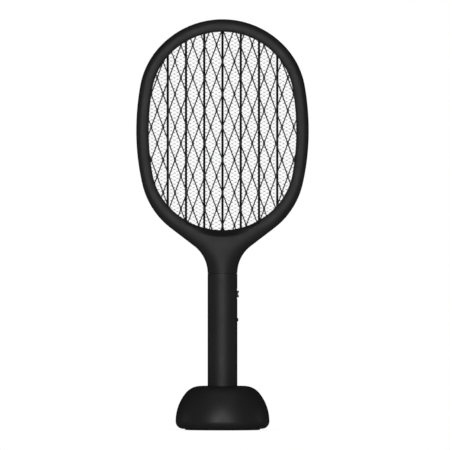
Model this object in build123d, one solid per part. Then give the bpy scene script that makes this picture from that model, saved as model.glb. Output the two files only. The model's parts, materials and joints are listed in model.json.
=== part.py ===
"""Electric fly swatter standing in a weighted round stand.

Millimetres, +Z up, the origin at the centre of the stand's underside, the front towards -Y.
The racket lifts straight up out of the stand; a slide switch and a trigger button sit on the +X side
of the handle.
"""
from build123d import *
from math import cos, sin, radians, sqrt
import os

# ---------------------------------------------------------------- driving dimensions, millimetres
# Head: one oval of three tangent arcs per quarter, then shoulders that flare into the handle.
HEAD_CENTRE_Z = 358.8
OVAL_RADII = (102.5, 92.5, 310.5)
OVAL_ANGLES = (50.4, 29.6, 10.0)
RING_WIDTH = 15.0
RING_HALF_DEPTH = 11.5
RING_EDGE_RADIUS = 7.0
SHOULDER_SIDE_RADIUS = 283.6
SHOULDER_SIDE_ANGLE = 13.0
SHOULDER_CORNER_RADIUS = 92.8
SHOULDER_CORNER_ANGLE = 39.6
SHOULDER_LINE = 35.36
FLARE_RADIUS = 41.4
PLATE_BOTTOM_Z = 221.0

# Neck: (height, half depth, superellipse power, inset from the outline), from the handle's round
# section up to the ring, whose own rounded edge makes the outline there.
NECK_SECTIONS = ((187.7, 17.85, 2.0, 0.0), (196.0, 17.75, 2.1, 0.0), (206.0, 17.2, 2.4, 0.0),
                 (216.0, 16.4, 2.8, 0.0), (226.0, 15.4, 3.2, 0.4), (234.0, 14.4, 3.3, 0.9),
                 (241.0, 13.5, 3.4, 1.3), (248.0, 12.6, 3.6, 1.7), (254.0, 11.9, 3.6, 2.1),
                 (260.0, 11.3, 3.6, 2.6))
SECTION_POINTS = 28
SEAM_Z = 187.7
SEAM_GROOVE = 0.4
SPIGOT_RADIUS = 15.45
SPIGOT_BORE = 13.2
SPIGOT_BOTTOM_Z = 175.5
NECK_CAVITY_LOW_Z = 198.0
NECK_CAVITY_TOP_HALF = 26.0

# Bevel round the opening, which cuts deeper where the neck is thicker, and the window in its low part.
BEVEL_START_Y = 7.9
BEVEL_END_Y = 15.5
BEVEL_SPREAD = 9.06
WINDOW_THICKNESS = 2.2
WINDOW_HALF_WIDTH = 44.0
WINDOW_FRONT_Y = -13.6
WINDOW_BACK_Y = -8.6
WINDOW_TOP_Z = 262.0

# Hollow channel in each ring half, and the pocket for the lamp strip.
CHANNEL_INSETS = (3.0, 7.6)
CHANNEL_DEPTH = 8.8
LAMP_POCKET_Z = 222.0
LAMP_XS = (-11.0, -3.7, 3.7, 11.0)

# Nets and ribs; the charged net is between the two guard nets.
NET_HALF_GAP = 5.8
NET_THICKNESS = 0.6
NET_OUTER_Y = NET_HALF_GAP + NET_THICKNESS
NET_MARGIN = 5.0
NET_BAND = 0.6
LATTICE_CENTRE_Z = 363.5
DIAMOND_WIDTH = 14.25
DIAMOND_HEIGHT = 39.4
DIAMOND_BOND = 5.6
BOND_HALF_WIDTH = 0.8
NET_WIRE = 1.0
CENTRE_NET_THICKNESS = 0.5
CENTRE_CELL_WIDTH = 15.4
CENTRE_CELL_HEIGHT = 8.8
CENTRE_WIRE = 0.7
NET_TAB_X = 8.0
NET_TAB_HALF_WIDTH = 3.0
NET_TAB_BOTTOM_Z = 232.8
NET_TAB_TOP_Z = 237.0
RIB_COUNT = 7
RIB_PITCH = 21.9
RIB_WIDTH = 2.7
RIB_GAP = 0.15
RIB_RIM_MARGIN = 0.4

# Head fasteners; screw angles are from straight up.
HEAD_SCREW_ANGLES = (12.0, 55.0, 95.0, 138.0)
HEAD_SCREW_INSET = 5.0
HEAD_SCREW_SEAT_Y = 7.5
HEAD_BOSS_RADIUS = 3.0
NECK_SCREW_ZS = (180.0, 206.0)
NECK_SCREW_SEAT_Y = 13.2
NECK_BOSS_RADIUS = 3.2
NECK_BOSS_REACH = 15.4

# Handle shells and end cap.
HANDLE_RADIUS = 17.85
HANDLE_WALL = 2.25
HANDLE_BORE = HANDLE_RADIUS - HANDLE_WALL
HANDLE_BOTTOM_Z = 9.2
END_CAP_HEIGHT = 3.4
SHELL_BOTTOM_Z = HANDLE_BOTTOM_Z + END_CAP_HEIGHT
SADDLE_RIB_ZS = (30.0, 84.0)
SADDLE_RIB_THICKNESS = 2.0
HANDLE_SCREW_ZS = (18.0, 96.2)
HANDLE_BOSS_RADIUS = 3.4
HANDLE_SCREW_SEAT_Y = 13.4
SPIGOT_SCREW_SEAT_Y = 15.7
PILOT_RADIUS = 0.95
CLEARANCE_RADIUS = 1.35

# Slide knob and trigger button, on the +X side, and the switches that they move.
KNOB_Z = 163.1
KNOB_HEIGHT = 8.2
KNOB_WIDTH = 5.8
KNOB_PROUD = 1.8
KNOB_TRAVEL = 2.0
KNOB_FLANGE_X = (13.5, 14.4)
KNOB_FLANGE_SIZE = (8.6, 18.0)
NUB_HALF_WIDTH = 1.5
SLIDER_X = (9.2, 12.6)
BUTTON_Z = 132.2
BUTTON_HEIGHT = 4.2
BUTTON_WIDTH = 7.0
BUTTON_PROUD = 1.2
BUTTON_FLANGE_X = (12.9, 14.0)
BUTTON_FLANGE_SIZE = (8.6, 6.6)
BUTTON_POST_X = 11.7
MOVING_GAP = 0.35

# Battery and its carrier.
CELL_RADIUS = 9.2
CELL_BOTTOM_Z = 25.4
CELL_LENGTH = 65.0
CARRIER_RADIUS = 11.2
CARRIER_BOTTOM_Z = 22.0
CARRIER_TOP_Z = 92.4
CARRIER_END_WALL = 1.4

# Circuit board, charging port and leads.
BOARD_BACK_Y = 6.2
BOARD_THICKNESS = 1.6
BOARD_FRONT_Y = BOARD_BACK_Y - BOARD_THICKNESS
BOARD_HALF_WIDTH = 12.4
BOARD_BOTTOM_Z = 100.2
BOARD_TOP_Z = 170.0
BOARD_SCREWS = ((-9.0, 104.0), (-9.0, 162.0), (9.0, 146.0))
BOARD_BOSS_RADIUS = 2.6
PORT_Z = 106.0
PORT_SIZE = (8.94, 3.26)
PORT_FACE_Y = 16.6
PORT_RECESS_Y = 16.9
CHARGE_LAMP_Z = 118.0
LIGHT_PIPE_RADIUS = 1.5
LEAD_RADIUS = 0.7
LEAD_HOLE_RADIUS = 1.3
LEAD_REAR_Y = 3.4
LEAD_BEND = 2.2
SIDE_LEAD_XY = (-12.8, -2.0)
LAMP_LEAD_X = -3.9

# Stand: a dome on a bottom plate with a rubber foot ring, and a round socket for the handle.
STAND_TOP_Z = 52.9
STAND_TOP_FLAT = 26.2
STAND_SHOULDER_RADIUS = 23.3
STAND_SHOULDER_ANGLE = 51.0
STAND_SIDE_RADIUS = 53.9
STAND_CORNER_RADIUS = 9.0
STAND_SEAM_Z = 5.6
STAND_SEAM_GAP = 0.2
STAND_WALL = 2.6
STAND_PLATE_HOLLOW = 46.5
PLATE_FLOOR_Z = 3.6
STAND_SCREW_RADIUS = 33.0
STAND_BOSS_RADIUS = 3.6
BOSS_BOTTOM_Z = 11.0
SOCKET_GAP = 0.35
SOCKET_RADIUS = HANDLE_RADIUS + SOCKET_GAP
SOCKET_WALL = 2.2
SOCKET_FLOOR_Z = 8.0
PAD_BOTTOM_Z = SOCKET_FLOOR_Z - 1.0
PAD_THICKNESS = 1.8
BALLAST_INNER = 22.5
BALLAST_OUTER = 45.0
BALLAST_THICKNESS = 6.0
FOOT_RING = (39.0, 45.0)
FOOT_RING_TOP_Z = 2.0

# Steps when a curve's height is looked up by halving.
HALVINGS = 40


# ---------------------------------------------------------------- helpers
def tangent_chain(start, heading, steps):
    """Edges of a smooth path: a step is (length,) for a line or (radius, degrees) for an arc."""
    edges = []
    point = Vector(*start)
    direction = Vector(*heading).normalized()
    for step in steps:
        if len(step) == 1:
            edge = Line(point, point + direction * step[0])
        else:
            edge = JernArc(point, direction, step[0], step[1])
        edges.append(edge)
        point = edge @ 1
        direction = edge % 1
    return edges


def mirrored_face(right_edges, closing=()):
    """Face from a right-hand half outline, its mirror image in x = 0, and closing edges."""
    left_edges = [mirror(edge, Plane.YZ) for edge in right_edges]
    return make_face([*right_edges, *left_edges, *closing])


def slab(outline, front_y, back_y):
    """Outline drawn as (x, z), made solid between two y planes, front_y < back_y."""
    plane = Plane((0, back_y, 0), x_dir=(1, 0, 0), z_dir=(0, -1, 0))
    return extrude(plane * outline, back_y - front_y)


def block(x_range, y_range, z_range):
    """Box between two corners."""
    size = [high - low for low, high in (x_range, y_range, z_range)]
    middle = [(high + low) / 2 for low, high in (x_range, y_range, z_range)]
    return Pos(*middle) * Box(*size)


def rod_y(radius, x, z, front_y, back_y):
    """Round rod along Y."""
    return slab(Pos(x, z) * Circle(radius), front_y, back_y)


def rod_z(radius, low_z, high_z, x=0, y=0):
    """Round rod along Z."""
    return Pos(x, y, (low_z + high_z) / 2) * Cylinder(radius, high_z - low_z)


def rod_x(radius, low_x, high_x, y, z):
    """Round rod along X."""
    return Pos((low_x + high_x) / 2, y, z) * Rot(0, 90, 0) * Cylinder(radius, high_x - low_x)


def tube_z(outer, inner, low_z, high_z):
    """Round tube about the Z axis."""
    return rod_z(outer, low_z, high_z) - rod_z(inner, low_z - 1, high_z + 1)


def screw_y(x, z, seat_y, tip_y, head_radius, head_height, shaft_radius):
    """Cross-head screw along Y whose head sits on seat_y, on the side away from its tip."""
    outward = 1 if seat_y > tip_y else -1
    head_end = seat_y + outward * head_height
    head = rod_y(head_radius, x, z, min(seat_y, head_end), max(seat_y, head_end))
    shaft = rod_y(shaft_radius, x, z, min(seat_y, tip_y), max(seat_y, tip_y))
    recess_low = min(head_end, head_end - outward * head_height * 0.6)
    recess_high = recess_low + head_height * 0.6
    slot = (-head_radius * 0.6, head_radius * 0.6)
    width = (-head_radius * 0.14, head_radius * 0.14)
    recess = [block((x + a[0], x + a[1]), (recess_low, recess_high), (z + b[0], z + b[1]))
              for a, b in ((slot, width), (width, slot))]
    return head + shaft - recess


def lead(points, radii):
    """Insulated wire through the points, its corners rounded to the radii."""
    route = FilletPolyline(*points, radius=radii)
    start = Plane(origin=route @ 0, z_dir=route % 0)
    return sweep(start * Circle(LEAD_RADIUS), path=route)


def group(solids):
    """Separate solids kept together as one node."""
    return Compound(children=[piece.solid() for piece in solids])


NODES = {}


def node(name, shape):
    """Keep a finished sub-part under its node name."""
    NODES[name] = shape


# ---------------------------------------------------------------- head outlines, drawn as (x, z)
def oval_half_height(inset=0.0):
    """Half height of the oval, its side arcs centred on the head's centre height."""
    top, corner, side = OVAL_RADII
    first = radians(OVAL_ANGLES[0])
    second = radians(OVAL_ANGLES[0] + OVAL_ANGLES[1])
    return top - (top - corner) * cos(first) - (corner - side) * cos(second) - inset


def oval_face(inset):
    """Head oval, drawn in from the ring's outer edge by the inset."""
    top, corner, side = [radius - inset for radius in OVAL_RADII]
    steps = [(top, -OVAL_ANGLES[0]), (corner, -OVAL_ANGLES[1]), (side, -2 * OVAL_ANGLES[2]),
             (corner, -OVAL_ANGLES[1]), (top, -OVAL_ANGLES[0])]
    start = (0, HEAD_CENTRE_Z + oval_half_height(inset))
    return mirrored_face(tangent_chain(start, (1, 0), steps))


def oval_point(degrees, inset):
    """Point (x, z) on the oval where its outward normal is so many degrees from straight up."""
    flipped = degrees > 90
    angle = 180 - degrees if flipped else degrees
    top, corner, side = OVAL_RADII
    first = radians(OVAL_ANGLES[0])
    second = radians(OVAL_ANGLES[0] + OVAL_ANGLES[1])
    centre = [0, oval_half_height() - top]
    radius = top
    if radians(angle) > first:
        centre = [centre[0] + (top - corner) * sin(first), centre[1] + (top - corner) * cos(first)]
        radius = corner
    if radians(angle) > second:
        centre = [centre[0] + (corner - side) * sin(second), centre[1] + (corner - side) * cos(second)]
        radius = side
    x = centre[0] + (radius - inset) * sin(radians(angle))
    z = centre[1] + (radius - inset) * cos(radians(angle))
    return x, HEAD_CENTRE_Z + (-z if flipped else z)


def head_edges():
    """Right half of the head's outline, from its top down to the handle seam."""
    top, corner, side = OVAL_RADII
    steps = [(top, -OVAL_ANGLES[0]), (corner, -OVAL_ANGLES[1]), (side, -OVAL_ANGLES[2]),
             (SHOULDER_SIDE_RADIUS, -SHOULDER_SIDE_ANGLE),
             (SHOULDER_CORNER_RADIUS, -SHOULDER_CORNER_ANGLE),
             (SHOULDER_LINE,),
             (FLARE_RADIUS, SHOULDER_SIDE_ANGLE + SHOULDER_CORNER_ANGLE)]
    start = (0, HEAD_CENTRE_Z + oval_half_height())
    return tangent_chain(start, (1, 0), steps)


def half_width_at(height):
    """Half width of the head's outline at a height below its widest point."""
    for edge in head_edges()[3:]:
        if (edge @ 0).Y >= height >= (edge @ 1).Y:
            low, high = 0.0, 1.0
            for _ in range(HALVINGS):
                middle = (low + high) / 2
                if (edge @ middle).Y > height:
                    low = middle
                else:
                    high = middle
            return (edge @ low).X
    return HANDLE_RADIUS


def superellipse_at(height, half_width, half_depth, power):
    """Closed section of the neck at one height."""
    points = []
    for step in range(SECTION_POINTS):
        angle = radians(360 * step / SECTION_POINTS)
        x = half_width * abs(cos(angle)) ** (2 / power)
        y = half_depth * abs(sin(angle)) ** (2 / power)
        points.append((x if cos(angle) > 0 else -x, y if sin(angle) > 0 else -y, height))
    return make_face(Spline(*points, periodic=True))


# ---------------------------------------------------------------- head frames
def neck_flare():
    """Loft from the handle's round section to the ring's lower part."""
    sections = [superellipse_at(height, half_width_at(height) - inset, depth, power)
                for height, depth, power, inset in NECK_SECTIONS]
    return loft(sections)


def head_plate():
    """Flat plate with the head's outline above the flare, its outer edges rounded."""
    edges = head_edges()
    corner = edges[-1] @ 1
    outline = mirrored_face(edges, [Line(corner, (-corner.X, corner.Y))])
    plate = slab(outline, -RING_HALF_DEPTH, RING_HALF_DEPTH)
    rims = [edge for edge in plate.edges()
            if abs(abs(edge.center().Y) - RING_HALF_DEPTH) < 0.01 and edge.center().Z > SEAM_Z + 1]
    plate = fillet(rims, RING_EDGE_RADIUS)
    return plate - block((-50, 50), (-20, 20), (SEAM_Z - 1, PLATE_BOTTOM_Z))


def bevel_body(drop=0.0):
    """Space in front of the bevel round the opening, lowered by the drop."""
    sections = []
    for depth, inset in ((BEVEL_START_Y, RING_WIDTH), (BEVEL_END_Y, RING_WIDTH - BEVEL_SPREAD)):
        plane = Plane((0, -depth, -drop), x_dir=(1, 0, 0), z_dir=(0, -1, 0))
        sections.append(plane * oval_face(inset))
    body = loft(sections, ruled=True)
    return body + extrude(sections[1], 8)


def window_solid():
    """Smoked crescent window, a strip laid in the low part of the bevel."""
    strip = bevel_body(WINDOW_THICKNESS) - bevel_body()
    x_range = (-WINDOW_HALF_WIDTH, WINDOW_HALF_WIDTH)
    limits = block(x_range, (WINDOW_FRONT_Y, WINDOW_BACK_Y), (200, WINDOW_TOP_Z))
    return (strip & limits).solid()


def head_screw_points():
    """Centres of the ring's screws, both sides."""
    right = [oval_point(angle, HEAD_SCREW_INSET) for angle in HEAD_SCREW_ANGLES]
    return right + [(-x, z) for x, z in right]


def neck_cavity():
    """Hollow through the spigot and neck for the leads."""
    bore = rod_z(SPIGOT_BORE, SPIGOT_BOTTOM_Z - 1, NECK_CAVITY_LOW_Z + 6)
    low = Pos(0, 0, NECK_CAVITY_LOW_Z) * Ellipse(SPIGOT_BORE - 0.4, SPIGOT_BORE - 0.5)
    high = Pos(0, 0, LAMP_POCKET_Z) * Ellipse(NECK_CAVITY_TOP_HALF, SPIGOT_BORE - 1.6)
    return bore + loft([low, high], ruled=True)


def lamp_pocket():
    """Space for the lamp strip and its light, under the window."""
    low = block((-17, 17), (-12.0, -1.0), (LAMP_POCKET_Z - 0.5, 229.5))
    light = block((-24, 24), (-12.4, -8.2), (228.0, 240.0)) - bevel_body(WINDOW_THICKNESS)
    return low + light


def frame_half():
    """What the front and rear head frames share, made on the front side."""
    blank = head_plate() + neck_flare() + rod_z(SPIGOT_RADIUS, SPIGOT_BOTTOM_Z, SEAM_Z + 1)
    blank -= tube_z(HANDLE_RADIUS + 2, HANDLE_RADIUS - SEAM_GROOVE, SEAM_Z - 1, SEAM_Z + SEAM_GROOVE)
    half = split(blank, bisect_by=Plane.XZ, keep=Keep.TOP)
    half -= bevel_body()
    half -= slab(oval_face(RING_WIDTH), -30, 1)
    half -= slab(oval_face(RING_WIDTH - NET_MARGIN - 0.2), -NET_OUTER_Y - 0.1, 1)
    channel = slab(oval_face(CHANNEL_INSETS[0]), -CHANNEL_DEPTH, 1)
    channel -= slab(oval_face(CHANNEL_INSETS[1]), -CHANNEL_DEPTH - 1, 2)
    channel -= block((-52, 52), (-20, 20), (200, WINDOW_TOP_Z))
    half -= channel - [rod_y(HEAD_BOSS_RADIUS, x, z, -CHANNEL_DEPTH - 1, 2) for x, z in head_screw_points()]
    half -= neck_cavity()
    for x in (-NET_TAB_X, NET_TAB_X):
        reach = NET_TAB_HALF_WIDTH + 1
        half -= block((x - reach, x + reach), (-NET_OUTER_Y - 0.1, 1), (NET_TAB_BOTTOM_Z - 0.4, 240))
    half -= rod_z(LEAD_HOLE_RADIUS, LAMP_POCKET_Z - 3, NET_TAB_BOTTOM_Z + 1, NET_TAB_X, 0)
    for z in NECK_SCREW_ZS:
        reach = SPIGOT_RADIUS - 0.4 if z < SEAM_Z else NECK_BOSS_REACH
        half += rod_y(NECK_BOSS_RADIUS, 0, z, -reach, 0)
    return half


def head_solids():
    """Front frame with pilot holes and rear frame with screw recesses, which meet at y = 0."""
    pilot, clearance, recess = 0.9, 1.15, 2.4
    half = frame_half()
    rear = mirror(half, Plane.XZ)
    rear -= rod_z(LEAD_HOLE_RADIUS, LAMP_POCKET_Z - 3, NET_TAB_BOTTOM_Z + 1, -NET_TAB_X, LEAD_REAR_Y)
    front = half - window_solid()
    front -= lamp_pocket()
    for x, z in head_screw_points():
        front -= rod_y(pilot, x, z, -6.5, 1)
        rear -= rod_y(clearance, x, z, -1, 9)
        rear -= rod_y(recess, x, z, HEAD_SCREW_SEAT_Y, 20)
    for z in NECK_SCREW_ZS:
        front -= rod_y(pilot, 0, z, -11, 1)
        rear -= rod_y(CLEARANCE_RADIUS, 0, z, -1, 25)
    rear -= rod_y(recess + 0.3, 0, NECK_SCREW_ZS[1], NECK_SCREW_SEAT_Y, 25)
    return front, rear


def build_head():
    """Head frames, nets, ribs, window, lamps and their fasteners."""
    front, rear = head_solids()
    node("head_front_frame", front)
    node("head_rear_frame", rear)
    node("crescent_window", window_solid())
    build_nets()
    build_ribs()
    build_lamps()
    build_head_screws()


# ---------------------------------------------------------------- nets and ribs
def lattice_cells(cell, cell_width, cell_height, limit):
    """Copies of a cell on its staggered lattice, cut to the limit's outline."""
    half_width = limit.bounding_box().max.X
    half_height = oval_half_height()
    columns = int(half_width / cell_width) + 2
    rows = int(2 * half_height / cell_height) + 4
    wires = []
    for row in range(-rows, rows + 1):
        stagger = 0.5 * ((row + 1) % 2)
        for column in range(-columns, columns + 1):
            x = (column + stagger) * cell_width
            z = LATTICE_CENTRE_Z + row * cell_height / 2
            if abs(x) < half_width and abs(z - HEAD_CENTRE_Z) < half_height:
                pieces = (Pos(x, z) * cell) & limit
                wires += [face.outer_wire() for face in pieces.faces() if face.area > 1] if pieces else []
    return wires


def guard_cell():
    """One open cell of the guard net: a diamond with short upright sides."""
    half_width = DIAMOND_WIDTH / 2
    rise = DIAMOND_HEIGHT / 2 - DIAMOND_BOND
    slope_length = sqrt(half_width ** 2 + rise ** 2)
    shift = NET_WIRE / 2 * slope_length / half_width
    side_x = half_width - BOND_HALF_WIDTH
    tip_z = DIAMOND_HEIGHT / 2 - DIAMOND_BOND / 2 - shift
    side_z = DIAMOND_BOND / 2 + (half_width - side_x) * rise / half_width - shift
    return make_face(Polyline((side_x, -side_z), (side_x, side_z), (0, tip_z), (-side_x, side_z),
                              (-side_x, -side_z), (0, -tip_z), close=True))


def centre_cell():
    """One open cell of the centre net: a plain diamond."""
    half_width = CENTRE_CELL_WIDTH / 2
    half_height = CENTRE_CELL_HEIGHT / 2
    slope_length = sqrt(half_width ** 2 + half_height ** 2)
    shift_x = CENTRE_WIRE / 2 * slope_length / half_height
    shift_z = CENTRE_WIRE / 2 * slope_length / half_width
    return make_face(Polyline((half_width - shift_x, 0), (0, half_height - shift_z),
                              (shift_x - half_width, 0), (0, shift_z - half_height), close=True))


def net_sheet(cell, cell_width, cell_height, tab_x):
    """Oval sheet with its cells cut out and a connecting tab below."""
    tab = Pos(tab_x, (NET_TAB_BOTTOM_Z + NET_TAB_TOP_Z) / 2) * Rectangle(
        2 * NET_TAB_HALF_WIDTH, NET_TAB_TOP_Z - NET_TAB_BOTTOM_Z)
    sheet = oval_face(RING_WIDTH - NET_MARGIN) + tab
    holes = lattice_cells(cell, cell_width, cell_height, oval_face(RING_WIDTH - NET_BAND))
    return Face(sheet.face().outer_wire(), holes)


def build_nets():
    """Two earthed guard nets and the charged net between them."""
    guard = net_sheet(guard_cell(), DIAMOND_WIDTH, DIAMOND_HEIGHT, -NET_TAB_X)
    node("front_guard_net", slab(guard, -NET_OUTER_Y, -NET_HALF_GAP))
    node("rear_guard_net", slab(guard, NET_HALF_GAP, NET_OUTER_Y))
    centre = net_sheet(centre_cell(), CENTRE_CELL_WIDTH, CENTRE_CELL_HEIGHT, NET_TAB_X)
    half = CENTRE_NET_THICKNESS / 2
    node("centre_net", slab(centre, -half, half))
    jumper_x = (-NET_TAB_X - 2, -NET_TAB_X + 2)
    jumper_z = (NET_TAB_BOTTOM_Z + 0.2, NET_TAB_BOTTOM_Z + 0.8)
    node("net_jumper", block(jumper_x, (-NET_HALF_GAP, NET_HALF_GAP), jumper_z))


def build_ribs():
    """Two insulating rib frames that hold the nets apart."""
    rim = oval_face(RING_WIDTH - NET_MARGIN) - oval_face(RING_WIDTH - RIB_RIM_MARGIN)
    half_count = RIB_COUNT // 2
    height = 2 * oval_half_height()
    bars = [Pos(index * RIB_PITCH, HEAD_CENTRE_Z) * Rectangle(RIB_WIDTH, height)
            for index in range(-half_count, half_count + 1)]
    outline = rim + ((Sketch() + bars) & oval_face(RING_WIDTH - NET_MARGIN))
    near = CENTRE_NET_THICKNESS / 2 + RIB_GAP
    far = NET_HALF_GAP - RIB_GAP
    node("front_rib_frame", slab(outline, -far, -near))
    node("rear_rib_frame", slab(outline, near, far))


def build_lamps():
    """Strip of ultraviolet lamps under the window."""
    strip_z = LAMP_POCKET_Z + 2
    node("lamp_strip_board", block((-15, 15), (-11.8, -5), (strip_z, strip_z + 1.2)))
    lamps = [block((x - 1.75, x + 1.75), (-10.4, -7.6), (strip_z + 1.2, strip_z + 3.1)) for x in LAMP_XS]
    node("lamp_strip_lamps", group(lamps))


def build_head_screws():
    """Self-tapping screws from the rear."""
    ring_screws = [screw_y(x, z, HEAD_SCREW_SEAT_Y, -6.0, 2.1, 1.6, 1.0) for x, z in head_screw_points()]
    node("head_screws", group(ring_screws))
    seats = (SPIGOT_SCREW_SEAT_Y, NECK_SCREW_SEAT_Y)
    neck_screws = [screw_y(0, z, seat, -9.5, 2.4, 1.6, 1.2) for z, seat in zip(NECK_SCREW_ZS, seats)]
    node("neck_screws", group(neck_screws))


# ---------------------------------------------------------------- handle shells and controls
def slab_x(outline, low_x, high_x):
    """Outline drawn as (y, z), made solid between two x planes."""
    plane = Plane((low_x, 0, 0), x_dir=(0, 1, 0), z_dir=(1, 0, 0))
    return extrude(plane * outline, high_x - low_x)


def control_windows():
    """Openings on the +X side for the slide knob and the trigger button."""
    knob = RectangleRounded(KNOB_WIDTH + 2 * MOVING_GAP, KNOB_HEIGHT + 2 * KNOB_TRAVEL + 2 * MOVING_GAP, 1.4)
    button = SlotOverall(BUTTON_WIDTH + 2 * MOVING_GAP, BUTTON_HEIGHT + 2 * MOVING_GAP)
    return slab_x(Pos(0, KNOB_Z) * knob, 12, 22) + slab_x(Pos(0, BUTTON_Z) * button, 12, 22)


def shell_half(side):
    """One half of the handle tube with its saddle ribs and screw bosses; side -1 is the front."""
    tube = tube_z(HANDLE_RADIUS, HANDLE_BORE, SHELL_BOTTOM_Z, SEAM_Z)
    tube -= tube_z(HANDLE_RADIUS + 2, HANDLE_RADIUS - SEAM_GROOVE, SEAM_Z - SEAM_GROOVE, SEAM_Z + 1)
    for z in SADDLE_RIB_ZS:
        rib = tube_z(HANDLE_BORE + 0.5, CARRIER_RADIUS + 0.2, z, z + SADDLE_RIB_THICKNESS)
        tube += rib - rod_z(LEAD_RADIUS + 0.9, z - 1, z + 3, *SIDE_LEAD_XY)
    reach = (0, side * HANDLE_RADIUS)
    half_space = block((-30, 30), (min(reach), max(reach)), (0, SEAM_Z + 5))
    shell = (tube & half_space) - control_windows()
    for z in HANDLE_SCREW_ZS:
        boss = rod_y(HANDLE_BOSS_RADIUS, 0, z, *sorted((side * 0.05, side * (HANDLE_BORE + 0.3))))
        shell += boss
    return shell


def handle_shells():
    """Front shell with pilot bosses, rear shell with screw recesses and the charging openings."""
    front = shell_half(-1)
    rear = shell_half(1)
    recess = 2.6
    for x, z in BOARD_SCREWS:
        rear += rod_y(BOARD_BOSS_RADIUS, x, z, BOARD_BACK_Y, sqrt(HANDLE_BORE ** 2 - x ** 2) + 0.2)
        rear -= rod_y(0.8, x, z, BOARD_BACK_Y - 1, BOARD_BACK_Y + 6.5)
    for z in HANDLE_SCREW_ZS:
        front -= rod_y(PILOT_RADIUS, 0, z, -12, 1)
        rear -= rod_y(CLEARANCE_RADIUS, 0, z, -1, 20)
        rear -= rod_y(recess, 0, z, HANDLE_SCREW_SEAT_Y, 20)
    rear -= rod_y(CLEARANCE_RADIUS, 0, NECK_SCREW_ZS[0], 12, 20)
    rear -= rod_y(recess, 0, NECK_SCREW_ZS[0], SPIGOT_SCREW_SEAT_Y, 20)
    port = RectangleRounded(PORT_SIZE[0] + 0.5, PORT_SIZE[1] + 0.5, 1.7)
    rear -= slab(Pos(0, PORT_Z) * port, 12, 20)
    port_recess = RectangleRounded(PORT_SIZE[0] + 3.5, PORT_SIZE[1] + 3.5, 2.6)
    rear -= slab(Pos(0, PORT_Z) * port_recess, PORT_RECESS_Y, 20)
    rear -= rod_y(LIGHT_PIPE_RADIUS + 0.05, 0, CHARGE_LAMP_Z, 12, 20)
    return front, rear


def end_cap():
    """Cap that closes the handle's lower end."""
    disc = rod_z(HANDLE_RADIUS, HANDLE_BOTTOM_Z, SHELL_BOTTOM_Z)
    rim = disc.edges().filter_by(GeomType.CIRCLE).sort_by(Axis.Z)[0]
    disc = fillet(rim, 1.2)
    return disc + tube_z(HANDLE_BORE - 0.15, HANDLE_BORE - 2, SHELL_BOTTOM_Z, SHELL_BOTTOM_Z + 1.6)


def power_knob():
    """Slide knob with two finger ridges and an inner flange that covers its window."""
    crown_radius = HANDLE_RADIUS + KNOB_PROUD
    outline = RectangleRounded(KNOB_WIDTH, KNOB_HEIGHT, 1.2)
    crown = slab_x(Pos(0, KNOB_Z) * outline, KNOB_FLANGE_X[1], crown_radius + 1)
    crown &= rod_z(crown_radius, KNOB_Z - 10, KNOB_Z + 10)
    rims = crown.edges().filter_by(lambda edge: edge.center().X > HANDLE_RADIUS + 1)
    crown = fillet(rims, 0.45)
    notch_x = crown_radius + 1.6
    crown -= Pos(notch_x, 0, KNOB_Z) * Rot(90, 0, 0) * Cylinder(2.4, 12)
    flange = slab_x(Pos(0, KNOB_Z) * Rectangle(*KNOB_FLANGE_SIZE), *KNOB_FLANGE_X)
    reach = NUB_HALF_WIDTH + 0.1
    socket = block((KNOB_FLANGE_X[0] - 1, 16.0), (-reach, reach), (KNOB_Z - reach, KNOB_Z + reach))
    return crown + flange - socket


def trigger_button():
    """Domed oblong push button with an inner flange and a post that presses its switch."""
    crown_radius = HANDLE_RADIUS + BUTTON_PROUD
    outline = SlotOverall(BUTTON_WIDTH, BUTTON_HEIGHT)
    crown = slab_x(Pos(0, BUTTON_Z) * outline, BUTTON_FLANGE_X[1], crown_radius + 1)
    crown &= rod_z(crown_radius, BUTTON_Z - 10, BUTTON_Z + 10)
    rims = crown.edges().filter_by(lambda edge: edge.center().X > HANDLE_RADIUS + 0.3)
    crown = fillet(rims, 0.9)
    flange = slab_x(Pos(0, BUTTON_Z) * RectangleRounded(*BUTTON_FLANGE_SIZE, 2.0), *BUTTON_FLANGE_X)
    post = rod_x(1.3, BUTTON_POST_X, BUTTON_FLANGE_X[0], 0, BUTTON_Z)
    return crown + flange + post


def build_handle():
    """Handle shells, end cap, controls and screws."""
    front, rear = handle_shells()
    node("handle_front_shell", front)
    node("handle_rear_shell", rear)
    node("handle_end_cap", end_cap())
    node("power_switch_knob", power_knob())
    reach = (-NUB_HALF_WIDTH, NUB_HALF_WIDTH)
    nub = block((SLIDER_X[0] + 1.2, 15.6), reach, (KNOB_Z + reach[0], KNOB_Z + reach[1]))
    node("power_switch_slider", nub)
    node("trigger_button", trigger_button())
    screws = [screw_y(0, z, HANDLE_SCREW_SEAT_Y, -9.5, 2.3, 1.7, 1.2) for z in HANDLE_SCREW_ZS]
    node("handle_screws", group(screws))


# ---------------------------------------------------------------- battery and electronics
def battery_cell():
    """Round lithium cell with its raised positive end."""
    top = CELL_BOTTOM_Z + CELL_LENGTH
    can = rod_z(CELL_RADIUS, CELL_BOTTOM_Z, top - 0.8)
    can = fillet(can.edges().filter_by(GeomType.CIRCLE), 0.9)
    return can + rod_z(3.2, top - 0.9, top)


def battery_carrier():
    """Cradle around the cell, open at the front, with end walls for the contacts."""
    cradle = tube_z(CARRIER_RADIUS, CELL_RADIUS + 0.25, CARRIER_BOTTOM_Z, CARRIER_TOP_Z)
    for low in (CARRIER_BOTTOM_Z, CARRIER_TOP_Z - CARRIER_END_WALL):
        cradle += rod_z(CELL_RADIUS + 0.5, low, low + CARRIER_END_WALL)
    return cradle - block((-8.2, 8.2), (-20, 0), (CARRIER_BOTTOM_Z + 3, CARRIER_TOP_Z - 3))


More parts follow.
